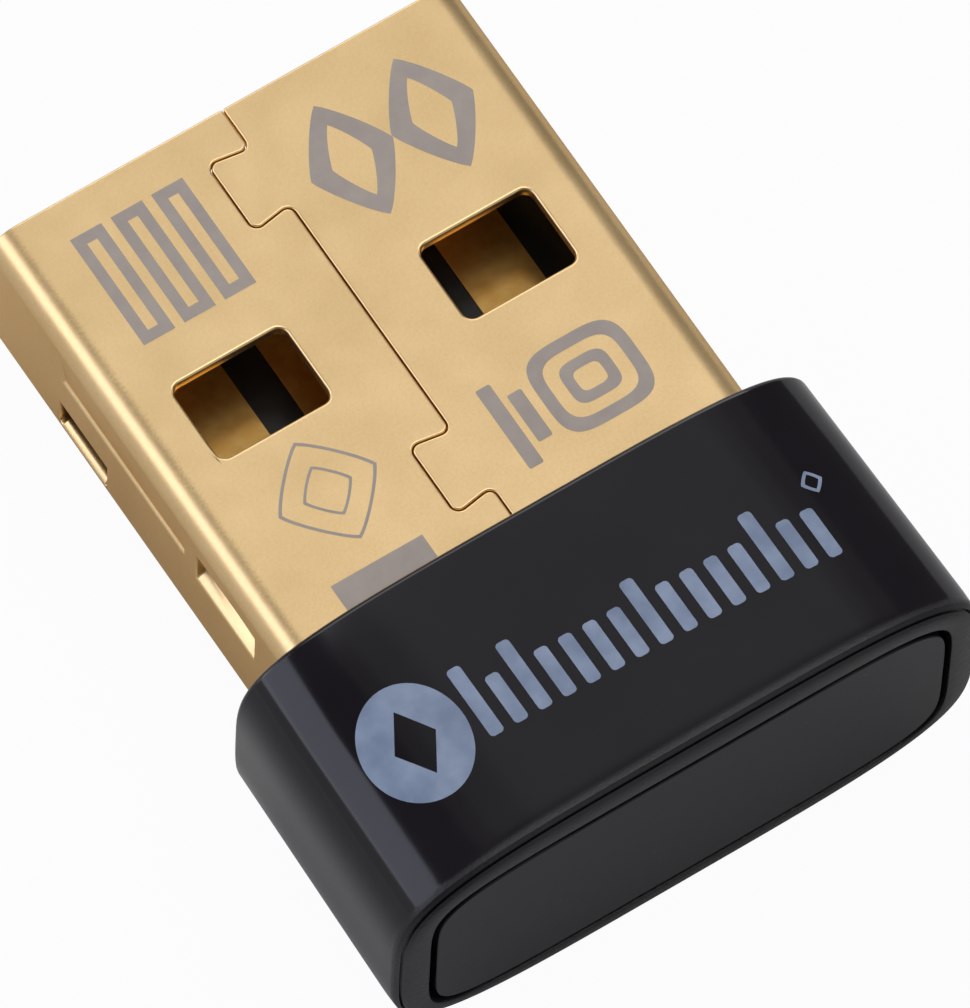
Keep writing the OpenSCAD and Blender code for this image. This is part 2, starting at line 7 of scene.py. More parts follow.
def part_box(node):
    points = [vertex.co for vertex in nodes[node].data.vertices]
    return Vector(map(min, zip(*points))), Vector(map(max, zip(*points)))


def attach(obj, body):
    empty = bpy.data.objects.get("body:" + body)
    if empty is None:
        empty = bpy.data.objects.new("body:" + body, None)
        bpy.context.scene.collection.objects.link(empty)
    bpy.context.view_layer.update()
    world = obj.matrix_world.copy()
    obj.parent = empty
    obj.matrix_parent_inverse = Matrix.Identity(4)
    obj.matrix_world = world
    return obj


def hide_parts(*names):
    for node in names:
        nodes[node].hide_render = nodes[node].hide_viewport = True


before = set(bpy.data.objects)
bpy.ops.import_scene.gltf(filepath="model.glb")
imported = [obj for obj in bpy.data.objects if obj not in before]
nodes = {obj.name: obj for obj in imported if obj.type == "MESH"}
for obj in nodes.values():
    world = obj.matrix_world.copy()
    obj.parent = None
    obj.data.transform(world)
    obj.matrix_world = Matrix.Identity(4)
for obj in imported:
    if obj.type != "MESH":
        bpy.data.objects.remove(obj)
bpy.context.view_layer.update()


def boxMm(node):
    low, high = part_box(node)
    return [v * 1000 for v in low], [v * 1000 for v in high]


# Pieces are shaped in millimetres. +Y runs along the plug to its mouth, +Z up, +X to the right.
shellLow, shellHigh = boxMm("plug_shell")
housingLow, housingHigh = boxMm("housing")
mouthY = shellHigh[1]
plugZ = (shellLow[2] + shellHigh[2]) / 2
plugHalfHeight = (shellHigh[2] - shellLow[2]) / 2


def clearSelection():
    if bpy.context.mode != "OBJECT":
        bpy.ops.object.mode_set(mode="OBJECT")
    bpy.ops.object.select_all(action="DESELECT")


def makeActive(piece):
    clearSelection()
    piece.select_set(True)
    bpy.context.view_layer.objects.active = piece


def applyModifiers(piece):
    makeActive(piece)
    for modifier in list(piece.modifiers):
        bpy.ops.object.modifier_apply(modifier=modifier.name)


def finishPiece(piece, material, smoothAngle):
    # shrinks the piece into the frame's metres, then gives it its shading, material and body
    makeActive(piece)
    piece.scale = (0.001, 0.001, 0.001)
    bpy.ops.object.transform_apply(location=True, rotation=True, scale=True)
    bpy.ops.object.shade_smooth_by_angle(angle=math.radians(smoothAngle))
    weighting = piece.modifiers.new("broad faces stay flat", "WEIGHTED_NORMAL")
    weighting.keep_sharp = True
    weighting.weight = 100
    bpy.ops.object.modifier_apply(modifier=weighting.name)
    piece.data.materials.clear()
    piece.data.materials.append(material)
    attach(piece, "root")


def nodeCopy(node, name):
    # a CAD node's mesh is loose triangles, so its copy is merged and its flat faces are joined
    piece = bpy.data.objects.new(name, nodes[node].data.copy())
    bpy.context.scene.collection.objects.link(piece)
    makeActive(piece)
    piece.scale = (1000, 1000, 1000)
    bpy.ops.object.transform_apply(location=True, rotation=True, scale=True)
    bpy.ops.object.mode_set(mode="EDIT")
    bpy.ops.mesh.select_all(action="SELECT")
    bpy.ops.mesh.remove_doubles(threshold=0.0005)
    bpy.ops.mesh.dissolve_limited(angle_limit=math.radians(0.4))
    bpy.ops.object.mode_set(mode="OBJECT")
    return piece


def roundEdges(piece, settings, shareAt):
    # edges sharper than an angle are rounded, each by its share of the full width
    shape = bmesh.new()
    shape.from_mesh(piece.data)
    weight = shape.edges.layers.float.new("bevel_weight_edge")
    for edge in shape.edges:
        if len(edge.link_faces) == 2 and edge.calc_face_angle() > math.radians(settings["fromAngle"]):
            edge[weight] = shareAt((edge.verts[0].co + edge.verts[1].co) / 2)
    shape.to_mesh(piece.data)
    shape.free()
    rounding = piece.modifiers.new("rounded edges", "BEVEL")
    rounding.width = settings["edge"]
    rounding.segments = settings["segments"]
    rounding.limit_method = "WEIGHT"
    rounding.use_clamp_overlap = False
    applyModifiers(piece)


def linear(hexText):
    parts = [int(hexText[i:i + 2], 16) / 255 for i in (1, 3, 5)]
    return tuple(c / 12.92 if c <= 0.04045 else ((c + 0.055) / 1.055) ** 2.4 for c in parts) + (1,)


def wire(tree, node, links):
    # each link names a socket of the node and the node or output that feeds it
    for key, source in links.items():
        if isinstance(source, bpy.types.Node):
            source = next(output for output in source.outputs if output.enabled)
        tree.links.new(source, node.inputs[key])


def addNode(tree, kind, settings, links=None):
    node = tree.nodes.new(kind)
    for key, value in settings.items():
        if isinstance(key, int) or key in node.inputs:
            node.inputs[key].default_value = value
        else:
            setattr(node, key, value)
    wire(tree, node, links or {})
    return node


def perMm(size):
    # scale of a texture whose features are that many millimetres across
    return 1000 / size


def newMaterial(name, settings):
    material = bpy.data.materials.new(name)
    material.use_nodes = True
    tree = material.node_tree
    shader = tree.nodes["Principled BSDF"]
    for key, value in settings.items():
        shader.inputs[key].default_value = value
    place = addNode(tree, "ShaderNodeTexCoord", {}).outputs["Object"]
    return material, tree, shader, place


print("materials")

# Gold flash over nickel on rolled, folded steel: a warm satin mirror, clouded and finely flecked by
# the rolling, duller on the folds, and painted darker along the left fold: painted shade, a dark reflection.
gold = {
    "pale": "#F5D5A2", "deep": "#EECB92", "grazing": "#EBD5BA", "paintedFoldShade": "#B79A62",
    "cloud": 1.6, "fleck": 0.07, "wave": 0.4, "foldLine": 5.59, "paintedFoldShadeWidth": 0.17, "paintedFoldShadeShare": 0.6,
}


def makeGold():
    material, tree, shader, place = newMaterial("gold_flash_on_steel_sheet", {
        "Metallic": 1.0, "Specular Tint": linear(gold["grazing"])})
    cloud = addNode(tree, "ShaderNodeTexNoise", {"Scale": perMm(gold["cloud"]), "Detail": 4.0,
                                                 "Roughness": 0.6}, {"Vector": place})
    fleck = addNode(tree, "ShaderNodeTexNoise", {"Scale": perMm(gold["fleck"]), "Detail": 2.0},
                    {"Vector": place})
    wave = addNode(tree, "ShaderNodeTexNoise", {"Scale": perMm(gold["wave"]), "Detail": 2.0},
                   {"Vector": place})
    clouded = addNode(tree, "ShaderNodeMapRange", {"From Min": 0.35, "From Max": 0.65, "To Max": 0.35},
                      {"Value": cloud})
    flecked = addNode(tree, "ShaderNodeMapRange", {"From Min": 0.3, "From Max": 0.7, "To Max": 0.65},
                      {"Value": fleck})
    share = addNode(tree, "ShaderNodeMath", {"operation": "ADD"}, {0: clouded, 1: flecked})
    tone = addNode(tree, "ShaderNodeMix", {"data_type": "RGBA", "A": linear(gold["deep"]),
                                           "B": linear(gold["pale"])}, {"Factor": share})
    # how far a point is from the fold line on the left, and how far above or below the middle
    axes = addNode(tree, "ShaderNodeSeparateXYZ", {}, {"Vector": place})
    offLine = addNode(tree, "ShaderNodeMath", {"operation": "ADD", 1: gold["foldLine"] / 1000},
                      {0: axes.outputs["X"]})
    wander = addNode(tree, "ShaderNodeMapRange", {"To Min": -0.00025, "To Max": 0.00025}, {"Value": fleck})
    strayed = addNode(tree, "ShaderNodeMath", {"operation": "ADD"}, {0: offLine, 1: wander})
    gap = addNode(tree, "ShaderNodeMath", {"operation": "ABSOLUTE"}, {0: strayed})
    strip = addNode(tree, "ShaderNodeMapRange", {
        "From Min": 0.0, "From Max": gold["paintedFoldShadeWidth"] / 1000, "To Min": gold["paintedFoldShadeShare"],
        "To Max": 0.0}, {"Value": gap})
    offMiddle = addNode(tree, "ShaderNodeMath", {"operation": "SUBTRACT", 1: plugZ / 1000},
                        {0: axes.outputs["Z"]})
    height = addNode(tree, "ShaderNodeMath", {"operation": "ABSOLUTE"}, {0: offMiddle})
    broad = addNode(tree, "ShaderNodeMapRange", {
        "From Min": (plugHalfHeight - 0.1) / 1000, "From Max": (plugHalfHeight - 0.03) / 1000},
        {"Value": height})
    patchy = addNode(tree, "ShaderNodeMapRange", {"From Min": 0.35, "From Max": 0.6, "To Min": 0.25},
                     {"Value": wave})
    foldShadeOnBroadFaces = addNode(tree, "ShaderNodeMath", {"operation": "MULTIPLY"}, {0: strip, 1: broad})
    paintedFoldShade = addNode(tree, "ShaderNodeMath", {"operation": "MULTIPLY"}, {0: foldShadeOnBroadFaces, 1: patchy})
    # the darker colour on the strip by the left fold is painted shade, a painted dark reflection
    coat = addNode(tree, "ShaderNodeMix", {"data_type": "RGBA", "B": linear(gold["paintedFoldShade"])},
                   {"Factor": paintedFoldShade, "A": tone})
    # satin, duller along the painted-shade strip on the left fold and on the folds and side walls
    satin = addNode(tree, "ShaderNodeMapRange", {"From Min": 0.3, "From Max": 0.7, "To Min": 0.3,
                                                 "To Max": 0.34}, {"Value": cloud})
    folded = addNode(tree, "ShaderNodeMapRange", {
        "From Min": (plugHalfHeight - 0.05) / 1000, "From Max": plugHalfHeight / 1000,
        "To Min": 0.03, "To Max": 0.0}, {"Value": height})
    dulled = addNode(tree, "ShaderNodeMath", {"operation": "MULTIPLY_ADD", 1: 0.2}, {0: paintedFoldShade, 2: folded})
    rough = addNode(tree, "ShaderNodeMath", {"operation": "ADD"}, {0: satin, 1: dulled})
    relief = addNode(tree, "ShaderNodeMath", {"operation": "MULTIPLY_ADD", 1: 0.3}, {0: fleck, 2: wave})
    bump = addNode(tree, "ShaderNodeBump", {"Strength": 0.25, "Distance": 0.000006}, {"Height": relief})
    wire(tree, shader, {"Base Color": coat, "Roughness": rough, "Normal": bump})
    return material


# Nickel laid bare by a laser: grey with a warm cast, dull where the plating is burnt off in lines
# that are drawn coarser than the real ones, which would not show.
etch = {"dark": "#968B84", "pale": "#9F948B", "cloud": 0.5, "line": 0.08}


def makeEtched():
    material, tree, shader, place = newMaterial("laser_etched_nickel", {"Metallic": 0.0, "Roughness": 0.6})
    cloud = addNode(tree, "ShaderNodeTexNoise", {"Scale": perMm(etch["cloud"]), "Detail": 3.0},
                    {"Vector": place})
    share = addNode(tree, "ShaderNodeMapRange", {"From Min": 0.3, "From Max": 0.7}, {"Value": cloud})
    tone = addNode(tree, "ShaderNodeMix", {"data_type": "RGBA", "A": linear(etch["dark"]),
                                           "B": linear(etch["pale"])}, {"Factor": share})
    lines = addNode(tree, "ShaderNodeTexWave", {"Scale": perMm(etch["line"]) / 6.3, "Distortion": 1.0},
                    {"Vector": place})
    bump = addNode(tree, "ShaderNodeBump", {"Strength": 0.3, "Distance": 0.000004},
                   {"Height": lines.outputs["Fac"]})
    wire(tree, shader, {"Base Color": tone, "Normal": bump})
    return material


# Black ABS moulded in a polished tool: a clear dark mirror, dull and grainy on its trimmed rear edge.
black = {
    "dark": "#110E13", "pale": "#151217", "ior": 1.46, "cloud": 2.5, "grit": 0.09,
    "polished": (0.1, 0.14), "trimmed": 0.3, "trimDepth": 0.38,
}


def makeBlack():
    material, tree, shader, place = newMaterial("black_abs_polished_moulding", {"IOR": black["ior"]})
    cloud = addNode(tree, "ShaderNodeTexNoise", {"Scale": perMm(black["cloud"]), "Detail": 2.0},
                    {"Vector": place})
    share = addNode(tree, "ShaderNodeMapRange", {"From Min": 0.3, "From Max": 0.7}, {"Value": cloud})
    tone = addNode(tree, "ShaderNodeMix", {"data_type": "RGBA", "A": linear(black["dark"]),
                                           "B": linear(black["pale"])}, {"Factor": share})
    axes = addNode(tree, "ShaderNodeSeparateXYZ", {}, {"Vector": place})
    trimmed = addNode(tree, "ShaderNodeMapRange", {
        "From Min": (housingLow[1] + black["trimDepth"] * 0.7) / 1000,
        "From Max": (housingLow[1] + black["trimDepth"]) / 1000,
        "To Min": black["trimmed"], "To Max": 0.0}, {"Value": axes.outputs["Y"]})
    polished = addNode(tree, "ShaderNodeMapRange", {
        "From Min": 0.3, "From Max": 0.7, "To Min": black["polished"][0], "To Max": black["polished"][1]},
        {"Value": cloud})
    rough = addNode(tree, "ShaderNodeMath", {"operation": "ADD"}, {0: polished, 1: trimmed})
    grit = addNode(tree, "ShaderNodeTexNoise", {"Scale": perMm(black["grit"]), "Detail": 3.0},
                   {"Vector": place})
    relief = addNode(tree, "ShaderNodeMath", {"operation": "MULTIPLY"}, {0: grit, 1: trimmed})
    bump = addNode(tree, "ShaderNodeBump", {"Strength": 0.8, "Distance": 0.00005}, {"Height": relief})
    wire(tree, shader, {"Base Color": tone, "Roughness": rough, "Normal": bump})
    return material


# The same ABS from a finely sparked tool: dull, with pin-point specks.
capBlack = {"dark": "#140E16", "pale": "#1B131D", "speck": "#5A595C", "grit": 0.07, "spacing": 0.9}


def makeCapBlack():
    material, tree, shader, place = newMaterial("black_abs_sparked_moulding", {"Roughness": 0.42, "IOR": 1.4})
    grit = addNode(tree, "ShaderNodeTexNoise", {"Scale": perMm(capBlack["grit"]), "Detail": 3.0},
                   {"Vector": place})
    share = addNode(tree, "ShaderNodeMapRange", {"From Min": 0.3, "From Max": 0.7}, {"Value": grit})
    tone = addNode(tree, "ShaderNodeMix", {"data_type": "RGBA", "A": linear(capBlack["dark"]),
                                           "B": linear(capBlack["pale"])}, {"Factor": share})
    cells = addNode(tree, "ShaderNodeTexVoronoi", {"Scale": perMm(capBlack["spacing"])}, {"Vector": place})
    specks = addNode(tree, "ShaderNodeMapRange", {"From Max": 0.06, "To Min": 0.6, "To Max": 0.0},
                     {"Value": cells.outputs["Distance"]})
    coat = addNode(tree, "ShaderNodeMix", {"data_type": "RGBA", "B": linear(capBlack["speck"])},
                   {"Factor": specks, "A": tone})
    bump = addNode(tree, "ShaderNodeBump", {"Strength": 0.35, "Distance": 0.000008}, {"Height": grit})
    wire(tree, shader, {"Base Color": coat, "Normal": bump})
    return material


# Pad-printed ink: blue grey, a thin film that is a little uneven.
inkTones = {"dark": "#6B7A93", "pale": "#8290A8", "cloud": 0.8}


def makeInk():
    material, tree, shader, place = newMaterial("pad_printed_ink", {"Roughness": 0.45, "IOR": 1.45})
    cloud = addNode(tree, "ShaderNodeTexNoise", {"Scale": perMm(inkTones["cloud"]), "Detail": 4.0},
                    {"Vector": place})
    share = addNode(tree, "ShaderNodeMapRange", {"From Min": 0.35, "From Max": 0.65}, {"Value": cloud})
    tone = addNode(tree, "ShaderNodeMix", {"data_type": "RGBA", "A": linear(inkTones["dark"]),
                                           "B": linear(inkTones["pale"])}, {"Factor": share})
    wire(tree, shader, {"Base Color": tone})
    return material


# The small parts inside: each a plain, faintly uneven finish. The settings are the two colours,
# the roughness, the size of the unevenness in millimetres, and whether it is a metal.
insideFinishes = {
    "black_solder_mask": ("#080909", "#0F1111", 0.24, 0.4, False),         # cured lacquer
    "black_moulded_nylon": ("#161618", "#202023", 0.45, 0.15, False),     # moulded, glass filled
    "copper_under_mask": ("#A8763C", "#B98748", 0.4, 0.2, True),          # etched foil
    "reflowed_solder": ("#B9BDC1", "#CFD2D5", 0.25, 0.2, True),           # melted, set bright
    "gold_flash_on_copper": ("#D3A558", "#E0B66C", 0.24, 0.3, True),      # plated pads
    "black_chip_epoxy": ("#1A1A1C", "#232326", 0.55, 0.08, False),        # transfer moulded
    "fired_dark_ceramic": ("#4A4238", "#5A5148", 0.5, 0.1, False),
    "nickel_plated_lid": ("#B8BABB", "#C8CACB", 0.3, 0.3, True),          # stamped, seam welded
    "tan_capacitor_ceramic": ("#8E6E48", "#A4855A", 0.45, 0.1, False),    # fired
    "black_resistor_glaze": ("#18181B", "#252529", 0.3, 0.1, False),
    "grey_ferrite": ("#5C6066", "#70747A", 0.5, 0.1, False),              # sintered
    "dark_ferrite": ("#343438", "#424246", 0.5, 0.1, False),
}


def makeInside(name):
    dark, pale, rough, size, metal = insideFinishes[name]
    material, tree, shader, place = newMaterial(name, {"Metallic": 1.0 if metal else 0.0, "Roughness": rough})
    cloud = addNode(tree, "ShaderNodeTexNoise", {"Scale": perMm(size), "Detail": 3.0}, {"Vector": place})
    share = addNode(tree, "ShaderNodeMapRange", {"From Min": 0.35, "From Max": 0.65}, {"Value": cloud})
    tone = addNode(tree, "ShaderNodeMix", {"data_type": "RGBA", "A": linear(dark), "B": linear(pale)},
                   {"Factor": share})
    bump = addNode(tree, "ShaderNodeBump", {"Strength": 0.3, "Distance": 0.000005}, {"Height": cloud})
    wire(tree, shader, {"Base Color": tone, "Normal": bump})
    return material


goldSheet = makeGold()
etched = makeEtched()
blackGloss = makeBlack()
blackDull = makeCapBlack()
ink = makeInk()
insideOf = {name: makeInside(name) for name in insideFinishes}
carriedOver = {
    "black_solder_mask": ["circuit_board"],
    "black_moulded_nylon": ["plug_insert"],
    "copper_under_mask": ["antenna_trace"],
    "reflowed_solder": ["shell_solder", "radio_chip_pins", "regulator_legs", "capacitor_ends",
                        "resistor_ends", "inductor_ends", "ferrite_bead_ends"],
    "gold_flash_on_copper": ["contact_vbus", "contact_data_minus", "contact_data_plus",
                             "contact_ground", "ground_pads"],
    "black_chip_epoxy": ["radio_chip", "voltage_regulator"],
    "fired_dark_ceramic": ["crystal"],
    "nickel_plated_lid": ["crystal_lid"],
    "tan_capacitor_ceramic": ["capacitors"],
    "black_resistor_glaze": ["resistors"],
    "grey_ferrite": ["inductor"],
    "dark_ferrite": ["ferrite_bead"],
}
for finish, carried in carriedOver.items():
    for node in carried:
        nodes[node].data.materials.clear()
        nodes[node].data.materials.append(insideOf[finish])


print("plug shell")
# The punch drew the rims of the four windows in more than the shears rounded the other edges.
shell = {"edge": 0.075, "segments": 4, "fromAngle": 40, "shearedShare": 0.65,
         "windowX": (1.6, 4.8), "windowY": (1.9, 4.6)}


def shellShare(middle):
    (left, right), (rear, front) = shell["windowX"], shell["windowY"]
    outside = abs(middle.z - plugZ) > plugHalfHeight - 0.05
    return 1.0 if outside and left < abs(middle.x) < right and rear < middle.y < front else shell["shearedShare"]


def makeShell():
    piece = nodeCopy("plug_shell", "folded_shell")
    roundEdges(piece, shell, shellShare)
    finishPiece(piece, goldSheet, 35)
    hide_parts("plug_shell")
    return piece


foldedShell = makeShell()

print("housing")
housing = {
    "widthFront": 14.7, "widthRear": 15.0, "aboveFront": 3.4, "aboveRear": 3.55, "squareness": 4,
    "frontRound": 0.15, "rearFall": (0.75, 0.024), "rearRound": (0.216, 0.042), "rearBevel": 0.22,
    "grooveInset": 0.13, "groove": 0.065, "grooveDepth": 0.09, "wall": 1.1, "points": 384,
    "holeWidth": 12.1, "holeHeight": 4.6, "holeRound": 0.7, "holeEdge": 0.05,
    "recessWidth": 13.34, "recessHeight": 5.6, "recessDrop": 0.09, "recessSquareness": 5.8,
    "recessDepth": 0.9, "recessEdge": 0.03, "ledge": 0.32,
}
housingFront = housingHigh[1]
housingRear = housingLow[1]
below = plugZ - housingLow[2]


def squaredPoint(turn, halfWidth, above, below, squareness):
    # the point of a squared ellipse in that direction from its middle: 1 is a diamond, 2 an ellipse
    c, s = math.cos(turn), math.sin(turn)
    halfHeight = above if s > 0 else below
    reach = (abs(c / halfWidth) ** squareness + abs(s / halfHeight) ** squareness) ** (-1 / squareness)
    return reach * c, reach * s


def roundedRectPoint(turn, width, height, radius):
    c, s = abs(math.cos(turn)), abs(math.sin(turn))
    reach = min(width / 2 / max(c, 1e-9), height / 2 / max(s, 1e-9))
    x, z = width / 2 - radius, height / 2 - radius
    if reach * c > x and reach * s > z:
        along = c * x + s * z
        reach = along + math.sqrt(along * along - x * x - z * z + radius * radius)
    return reach * math.cos(turn), reach * math.sin(turn)


def evenTurns(count):
    # directions that divide the outside into steps of one length
    steps = 7200
    path = [squaredPoint(2 * math.pi * i / steps, housing["widthRear"] / 2, housing["aboveRear"],
                         below, housing["squareness"]) for i in range(steps + 1)]
    run = [0.0]
    for first, second in zip(path, path[1:]):
        run.append(run[-1] + math.dist(first, second))
    turns, at = [], 0
    for i in range(count):
        while run[at] < run[-1] * i / count:
            at += 1
        turns.append(2 * math.pi * at / steps)
    return turns


def sizeAt(y):
    # half the width, and the height above the plug's middle, at that place along the housing
    share = (housingFront - y) / (housingFront - housingRear)
    width = housing["widthFront"] + (housing["widthRear"] - housing["widthFront"]) * share
    return width / 2, housing["aboveFront"] + (housing["aboveRear"] - housing["aboveFront"]) * share


def outsideRing(turns, y, inset):
    halfWidth, above = sizeAt(y)
    points = [squaredPoint(turn, halfWidth - inset, above - inset, below - inset, housing["squareness"])
              for turn in turns]
    return [(x, y, plugZ + z) for x, z in points]


def recessRing(turns, y, grow):
    halfWidth, halfHeight = housing["recessWidth"] / 2 + grow, housing["recessHeight"] / 2 + grow
    points = [squaredPoint(turn, halfWidth, halfHeight, halfHeight, housing["recessSquareness"])
              for turn in turns]
    return [(x, y, plugZ - housing["recessDrop"] + z) for x, z in points]


def holeRing(turns, y, grow):
    points = [roundedRectPoint(turn, housing["holeWidth"] + 2 * grow, housing["holeHeight"] + 2 * grow,
                               housing["holeRound"] + grow) for turn in turns]
    return [(x, y, plugZ + z) for x, z in points]


def frontEdge(turns):
    # a quarter round from the front face to the outside
    rings = []
    for i in range(6):
        turn = math.pi / 2 * i / 5
        rings.append(outsideRing(turns, housingFront - housing["frontRound"] * (1 - math.cos(turn)),
                                 housing["frontRound"] * (1 - math.sin(turn))))
    return rings


def rearEdge(turns):
    # the outside falls away a little, rolls into the chamfer, and a parting groove runs round the chamfer
    fallBack, fall = housing["rearFall"]
    rollBack, rollInset = housing["rearRound"]
    bevel, middle = housing["rearBevel"], housing["grooveInset"]
    half, deep = housing["groove"] * math.sqrt(0.5) / 2, housing["grooveDepth"] * math.sqrt(0.5)
    profile = [(fall * t * t, fallBack + (rollBack - fallBack) * t) for t in (0, 0.25, 0.5, 0.75, 1)]
    corner = bevel - fall
    for t in (0.25, 0.5, 0.75, 1):
        inset = fall * (1 - t) ** 2 + 2 * fall * t * (1 - t) + rollInset * t * t
        back = rollBack * (1 - t) ** 2 + 2 * corner * t * (1 - t) + (bevel - rollInset) * t * t
        profile.append((inset, back))
    upper, lower = (middle - half, bevel - middle + half), (middle + half, bevel - middle - half)
    profile += [upper, (upper[0] + deep, upper[1] + deep), (lower[0] + deep, lower[1] + deep), lower,
                (bevel - 0.02, 0.02), (bevel + 0.008, 0)]
    return [outsideRing(turns, housingRear + back, inset) for inset, back in profile]


def makeHousing():
    # a grid is rolled up both ways: its rows become the rings of the housing's section, from the
    # plug's hole over the outside to the recess for the cap, and the last row meets the first
    turns = evenTurns(housing["points"])
    hole, recess, ledge = housing["holeEdge"], housing["recessEdge"], housing["ledge"]
    rings = [holeRing(turns, housingFront - hole, 0),
             holeRing(turns, housingFront - hole * 0.3, hole * 0.3),
             holeRing(turns, housingFront, hole)]
    rings += frontEdge(turns)
    rings += [outsideRing(turns, housingFront - 2.2, 0), outsideRing(turns, housingFront - 4.4, 0)]
    rings += rearEdge(turns)
    recessFloor = housingRear + housing["recessDepth"]
    rings += [recessRing(turns, housingRear, recess),
              recessRing(turns, housingRear + recess * 0.3, recess * 0.3),
              recessRing(turns, housingRear + recess, 0),
              recessRing(turns, recessFloor, 0),
              recessRing(turns, recessFloor, -ledge),
              recessRing(turns, housingFront - housing["wall"], -ledge),
              holeRing(turns, housingFront - housing["wall"], 0)]
    columns, rows = len(turns), len(rings)
    clearSelection()
    bpy.ops.mesh.primitive_grid_add(x_subdivisions=columns, y_subdivisions=rows, size=1)
    piece = bpy.context.object
    piece.name = "moulded_housing"
    for vertex in piece.data.vertices:
        column = round((vertex.co.x + 0.5) * columns) % columns
        row = round((vertex.co.y + 0.5) * rows) % rows
        vertex.co = rings[row][column]
    bpy.ops.object.mode_set(mode="EDIT")
    bpy.ops.mesh.select_all(action="SELECT")
    bpy.ops.mesh.remove_doubles(threshold=0.00001)
    bpy.ops.mesh.normals_make_consistent(inside=False)
    bpy.ops.object.mode_set(mode="OBJECT")
    finishPiece(piece, blackGloss, 40)
    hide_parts("housing")
    return piece


mouldedHousing = makeHousing()

print("end cap")
cap = {"edge": 0.03, "segments": 3, "fromAngle": 50}


def makeCap():
    piece = nodeCopy("end_cap", "set_in_cap")
    roundEdges(piece, cap, lambda middle: 1.0)
    finishPiece(piece, blackDull, 35)
    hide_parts("end_cap")
    return piece


setInCap = makeCap()

print("print and etched marks")
# Plain shapes stand where the adapter is marked. Places are x, and the distance behind the mouth as -y.
printed = {
    "film": 0.012, "cut": 0.15,
    # x, y, half width, half length and squareness of the badge, and half sizes of its hollow
    "badge": (-4.99, -15.46, 1.2, 1.45, 2), "hollow": (0.52, 0.86, 1),
    "barStart": -3.42, "barStep": 0.607, "barWidth": 0.34, "barFoot": -16.3, "slant": -0.03,
    "barLengths": (1.85, 1.3, 1.85, 1.3, 1.3, 1.3, 1.3, 1.75, 1.3, 1.3, 1.3, 1.3, 1.85, 1.3, 1.3),
    "stud": (5.62, -14.72, 0.27, 0.3, 0.1, 1.15),
}
marks = {
    "film": 0.008,
    # upright frames: x, y, width, length, stroke
    "frames": [(-4.12, -2.45, 0.8, 3.0, 0.27), (-3.08, -2.45, 0.8, 3.0, 0.27), (-2.04, -2.45, 0.8, 3.0, 0.27)],
    # squared rings: x, y, half width, half length, stroke, squareness
    "rings": [(1.72, -2.55, 1.05, 1.55, 0.55, 1.15), (3.82, -2.5, 1.05, 1.55, 0.55, 1.15),
              (3.25, -9.7, 1.22, 1.12, 0.3, 4), (3.25, -9.7, 0.6, 0.54, 0.26, 4),
              (-3.05, -9.0, 1.25, 1.35, 0.09, 1.15), (-3.05, -9.0, 0.62, 0.68, 0.08, 1.15)],
    "bars": [(1.1, -9.8, 0.36, 2.2), (1.62, -9.8, 0.36, 1.3)],
    "plate": (-3.07, -11.62, 2.34, 1.3),
}


def roundPlate(x, y, outer, inner, points=72):
    # a disc is inset and hollowed, and its two edges are drawn to squared ellipses
    clearSelection()
    bpy.ops.mesh.primitive_circle_add(vertices=points, radius=1, fill_type="NGON")
    piece = bpy.context.object
    bpy.ops.object.mode_set(mode="EDIT")
    bpy.ops.mesh.select_all(action="SELECT")
    bpy.ops.mesh.inset(thickness=0.5)
    bpy.ops.mesh.delete(type="FACE")
    bpy.ops.object.mode_set(mode="OBJECT")
    for vertex in piece.data.vertices:
        halfWidth, halfLength, squareness = outer if vertex.co.length > 0.75 else inner
        turn = math.atan2(vertex.co.y, vertex.co.x)
        across, along = squaredPoint(turn, halfWidth, halfLength, halfLength, squareness)
        vertex.co = (x + across, y + along, 0)
    return piece


def barPlate(x, y, width, length, corner):
    # a flat bar with rounded corners
    clearSelection()
    bpy.ops.mesh.primitive_plane_add(size=1, location=(x, y, 0))
    piece = bpy.context.object
    piece.scale = (width, length, 1)
    bpy.ops.object.transform_apply(location=True, rotation=True, scale=True)
    if corner:
        bpy.ops.object.mode_set(mode="EDIT")
        bpy.ops.mesh.select_all(action="SELECT")
        bpy.ops.mesh.bevel(offset=corner, segments=5, affect="VERTICES")
        bpy.ops.object.mode_set(mode="OBJECT")
    return piece


def framePlate(x, y, width, length, stroke):
    # a flat frame: a bar inset by its stroke, its middle taken out
    piece = barPlate(x, y, width, length, 0)
    bpy.ops.object.mode_set(mode="EDIT")
    bpy.ops.mesh.select_all(action="SELECT")
    bpy.ops.mesh.inset(thickness=stroke)
    bpy.ops.mesh.delete(type="FACE")
    bpy.ops.object.mode_set(mode="OBJECT")
    return piece


def makeFilm(name, pieces, thickness, heightAt, cut):
    # flat shapes become one thin film that lies on a surface; cuts along it let it follow the curve
    clearSelection()
    for piece in pieces:
        piece.select_set(True)
    bpy.context.view_layer.objects.active = pieces[0]
    bpy.ops.object.join()
    piece = pieces[0]
    piece.name = name
    piece.data.name = name
    if cut:
        left = min(vertex.co.x for vertex in piece.data.vertices)
        right = max(vertex.co.x for vertex in piece.data.vertices)
        bpy.ops.object.mode_set(mode="EDIT")
        for i in range(1, math.ceil((right - left) / cut)):
            bpy.ops.mesh.select_all(action="SELECT")
            bpy.ops.mesh.bisect(plane_co=(left + cut * i, 0, 0), plane_no=(1, 0, 0))
        bpy.ops.object.mode_set(mode="OBJECT")
    for vertex in piece.data.vertices:
        vertex.co.z = heightAt(vertex.co.x, vertex.co.y) - thickness / 2
    piece.data.update()
    for face in piece.data.polygons:
        if face.normal.z < 0:
            face.flip()
    film = piece.modifiers.new("film", "SOLIDIFY")
    film.thickness = thickness
    film.offset = 1
    applyModifiers(piece)
    return piece


def housingTop(x, y):
    halfWidth, above = sizeAt(y)
    squareness = housing["squareness"]
    return plugZ + above * max(0, 1 - (abs(x) / halfWidth) ** squareness) ** (1 / squareness)


def shellTop(x, y):
    return shellHigh[2]


